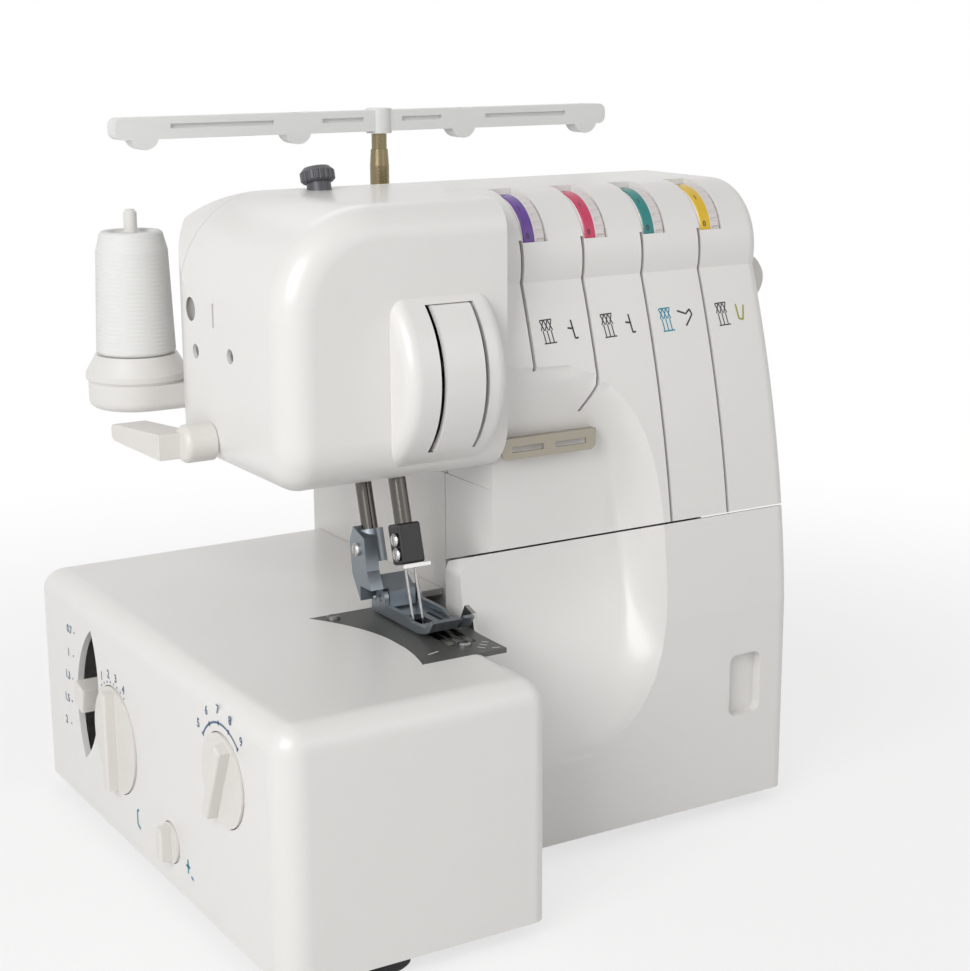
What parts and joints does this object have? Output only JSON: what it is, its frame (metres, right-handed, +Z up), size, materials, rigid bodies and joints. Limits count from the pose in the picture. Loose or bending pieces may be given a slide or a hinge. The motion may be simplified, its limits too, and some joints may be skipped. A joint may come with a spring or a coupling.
{
  "type": "serger overlock sewing machine",
  "caption": "Free-arm-less household overlock machine with tension dials in the top, a hinged looper cover, a presser foot, feed dogs, a handwheel and a thread stand at the back.",
  "frame": {"origin": "middle of the machine's outer box, on the table under the feet", "axes": "+X to the operator's right, towards the handwheel; +Y to the back; +Z up"},
  "size_m": [0.32, 0.257, 0.3118],
  "materials": {
    "housing_white": "gloss",
    "base_grey": "matt",
    "foot_rubber": "matt",
    "steel": "satin",
    "plate_dark": "satin",
    "cast_frame": "matt",
    "bush_bronze": "satin",
    "belt_black": "matt",
    "motor_black": "satin",
    "pulley_grey": "matt",
    "knob_grey": "satin",
    "clamp_black": "satin",
    "foot_steel": "satin",
    "guide_beige": "satin",
    "pole_bronze": "satin",
    "guide_clear": "satin",
    "thread_white": "matt",
    "control_white": "gloss",
    "dial_violet": "gloss",
    "dial_crimson": "gloss",
    "dial_teal": "gloss",
    "dial_yellow": "gloss",
    "lamp_clear": "gloss",
    "switch_black": "satin"
  },
  "bodies": {
    "machine": {"base_plate": "base_grey", "rubber_feet": "foot_rubber", "bed_housing": "housing_white", "head_housing": "housing_white", "tension_panel": "housing_white", "rear_housing": "housing_white", "take_up_cover": "housing_white", "needle_plate": "plate_dark", "thread_guide_plate": "guide_beige", "housing_screws": "steel", "main_frame": "cast_frame", "inner_brackets": "base_grey", "bushes": "bush_bronze", "drive_belts": "belt_black", "motor": "motor_black", "presser_spring": "steel", "tension_axle": "steel", "lower_knife": "steel", "spool_stand": "control_white", "spool_pins": "control_white", "cone_holders": "control_white", "pole_lower_tube": "pole_bronze", "lamp": "lamp_clear", "power_inlet": "switch_black"},
    "upper_drive": {"upper_shaft": "steel", "handwheel": "control_white", "upper_pulley": "pulley_grey"},
    "main_drive": {"main_shaft": "steel", "main_pulleys": "pulley_grey"},
    "motor_rotor": {"motor_pulley": "steel"},
    "needle_drive": {"needle_bar": "steel", "needle_clamp": "clamp_black", "needles": "steel"},
    "take_up": {"take_up_lever": "steel"},
    "lower_looper": {"lower_looper": "steel"},
    "upper_looper": {"upper_looper": "steel"},
    "upper_knife": {"upper_knife": "steel"},
    "main_feed": {"main_feed_dog": "steel"},
    "differential_feed": {"differential_feed_dog": "steel"},
    "presser": {"presser_bar": "steel", "foot_holder": "foot_steel"},
    "foot": {"presser_foot": "foot_steel"},
    "lifter": {"presser_lifter": "control_white"},
    "pressure_knob": {"pressure_knob": "knob_grey"},
    "length_dial": {"stitch_length_dial": "control_white"},
    "width_dial": {"stitch_width_dial": "control_white"},
    "hem_dial": {"hem_dial": "control_white"},
    "differential_lever": {"differential_lever": "control_white"},
    "cover_rod": {"cover_hinge_rod": "steel"},
    "cover": {"looper_cover": "housing_white"},
    "pole_middle": {"pole_middle_tube": "pole_bronze"},
    "pole_top": {"pole_top_rod": "pole_bronze"},
    "guide_bar": {"thread_guide_bar": "guide_clear"},
    "spool": {"spool_core": "control_white", "thread_package": "thread_white"},
    "switch": {"power_switch": "switch_black"},
    "dial_1": {"tension_dial_1": "dial_violet"},
    "dial_2": {"tension_dial_2": "dial_crimson"},
    "dial_3": {"tension_dial_3": "dial_teal"},
    "dial_4": {"tension_dial_4": "dial_yellow"}
  },
  "joints": [
    {"name": "handwheel_turn", "type": "hinge", "parent": "machine", "child": "upper_drive", "pos_m": [0.046, 0.0015, 0.233], "axis": [1, 0, 0], "continuous": true},
    {"name": "main_shaft_turn", "type": "hinge", "parent": "machine", "child": "main_drive", "pos_m": [0.046, 0.0215, 0.052], "axis": [1, 0, 0], "continuous": true},
    {"name": "motor_turn", "type": "hinge", "parent": "machine", "child": "motor_rotor", "pos_m": [0.092, 0.0785, 0.052], "axis": [1, 0, 0], "continuous": true},
    {"name": "needle_bar_slide", "type": "slide", "parent": "machine", "child": "needle_drive", "axis": [0, 0.2756, 0.9613], "range_m": [-0.012, 0.012]},
    {"name": "take_up_swing", "type": "hinge", "parent": "machine", "child": "take_up", "pos_m": [-0.044, -0.0315, 0.213], "axis": [1, 0, 0], "range_deg": [-26, 26]},
    {"name": "lower_looper_swing", "type": "hinge", "parent": "machine", "child": "lower_looper", "pos_m": [-0.036, -0.0285, 0.043], "axis": [0, 1, 0], "range_deg": [-8, 8]},
    {"name": "upper_looper_swing", "type": "hinge", "parent": "machine", "child": "upper_looper", "pos_m": [-0.05, -0.0285, 0.043], "axis": [0, 1, 0], "range_deg": [-8, 8]},
    {"name": "upper_knife_swing", "type": "hinge", "parent": "machine", "child": "upper_knife", "pos_m": [-0.0317, -0.0105, 0.077], "axis": [1, 0, 0], "range_deg": [-6, 6]},
    {"name": "main_feed_slide", "type": "slide", "parent": "machine", "child": "main_feed", "axis": [0, 1, 0], "range_m": [-0.002, 0.002]},
    {"name": "differential_feed_slide", "type": "slide", "parent": "machine", "child": "differential_feed", "axis": [0, 1, 0], "range_m": [-0.002, 0.002]},
    {"name": "presser_lift", "type": "slide", "parent": "machine", "child": "presser", "axis": [0, 0.2756, 0.9613], "range_m": [0, 0.006]},
    {"name": "foot_tilt", "type": "hinge", "parent": "presser", "child": "foot", "pos_m": [-0.047, -0.0245, 0.115], "axis": [1, 0, 0], "range_deg": [-5, 0.5]},
    {"name": "lifter_turn", "type": "hinge", "parent": "machine", "child": "lifter", "pos_m": [-0.114, 0.0155, 0.182], "axis": [1, 0, 0], "range_deg": [0, 40]},
    {"name": "pressure_knob_turn", "type": "hinge", "parent": "machine", "child": "pressure_knob", "pos_m": [-0.056, 0.02699, 0.28483], "axis": [0, 0.2756, 0.9613], "continuous": true},
    {"name": "tension_dial_1_turn", "type": "hinge", "parent": "machine", "child": "dial_1", "pos_m": [0.0093, -0.0195, 0.259], "axis": [1, 0, 0], "range_deg": [-150, 150]},
    {"name": "tension_dial_2_turn", "type": "hinge", "parent": "machine", "child": "dial_2", "pos_m": [0.0398, -0.0195, 0.259], "axis": [1, 0, 0], "range_deg": [-150, 150]},
    {"name": "tension_dial_3_turn", "type": "hinge", "parent": "machine", "child": "dial_3", "pos_m": [0.0703, -0.0195, 0.259], "axis": [1, 0, 0], "range_deg": [-150, 150]},
    {"name": "tension_dial_4_turn", "type": "hinge", "parent": "machine", "child": "dial_4", "pos_m": [0.1008, -0.0195, 0.259], "axis": [1, 0, 0], "range_deg": [-150, 150]},
    {"name": "stitch_length_turn", "type": "hinge", "parent": "machine", "child": "length_dial", "pos_m": [-0.154, 0.0375, 0.051], "axis": [1, 0, 0], "range_deg": [-120, 120]},
    {"name": "stitch_width_turn", "type": "hinge", "parent": "machine", "child": "width_dial", "pos_m": [-0.154, -0.078, 0.0725], "axis": [1, 0, 0], "range_deg": [-80, 80]},
    {"name": "hem_dial_turn", "type": "hinge", "parent": "machine", "child": "hem_dial", "pos_m": [-0.154, -0.0215, 0.026], "axis": [1, 0, 0], "range_deg": [-45, 45]},
    {"name": "differential_slide", "type": "slide", "parent": "machine", "child": "differential_lever", "axis": [0, -0.225, 0.9744], "range_m": [-0.018, 0.018]},
    {"name": "cover_slide", "type": "slide", "parent": "machine", "child": "cover_rod", "axis": [1, 0, 0], "range_m": [0, 0.008]},
    {"name": "cover_open", "type": "hinge", "parent": "cover_rod", "child": "cover", "pos_m": [0.046, -0.0585, 0.016], "axis": [1, 0, 0], "range_deg": [0, 90]},
    {"name": "pole_middle_slide", "type": "slide", "parent": "machine", "child": "pole_middle", "axis": [0, 0, 1], "range_m": [0, 0.085]},
    {"name": "pole_top_slide", "type": "slide", "parent": "pole_middle", "child": "pole_top", "axis": [0, 0, 1], "range_m": [0, 0.085]},
    {"name": "guide_bar_swivel", "type": "hinge", "parent": "pole_top", "child": "guide_bar", "pos_m": [0.009, 0.0935, 0.306], "axis": [0, 0, 1], "range_deg": [-90, 90]},
    {"name": "spool_turn", "type": "hinge", "parent": "machine", "child": "spool", "pos_m": [-0.1107, 0.1055, 0.232], "axis": [0, 0, 1], "continuous": true},
    {"name": "power_switch_rock", "type": "hinge", "parent": "machine", "child": "switch", "pos_m": [0.122, 0.0755, 0.071], "axis": [0, 1, 0], "range_deg": [-8, 8]}
  ],
  "couplings": [
    {"joint": "main_shaft_turn", "follows": "handwheel_turn", "ratio": 1},
    {"joint": "motor_turn", "follows": "handwheel_turn", "ratio": 3.25},
    {"joint": "take_up_swing", "follows": "needle_bar_slide", "rad_per_m": -36},
    {"joint": "lower_looper_swing", "follows": "needle_bar_slide", "rad_per_m": -11.5},
    {"joint": "upper_looper_swing", "follows": "needle_bar_slide", "rad_per_m": 11.5},
    {"joint": "upper_knife_swing", "follows": "needle_bar_slide", "rad_per_m": -8.6},
    {"joint": "main_feed_slide", "follows": "needle_bar_slide", "ratio": 0.16},
    {"joint": "differential_feed_slide", "follows": "needle_bar_slide", "ratio": 0.16},
    {"joint": "lifter_turn", "follows": "presser_lift", "rad_per_m": 116}
  ]
}
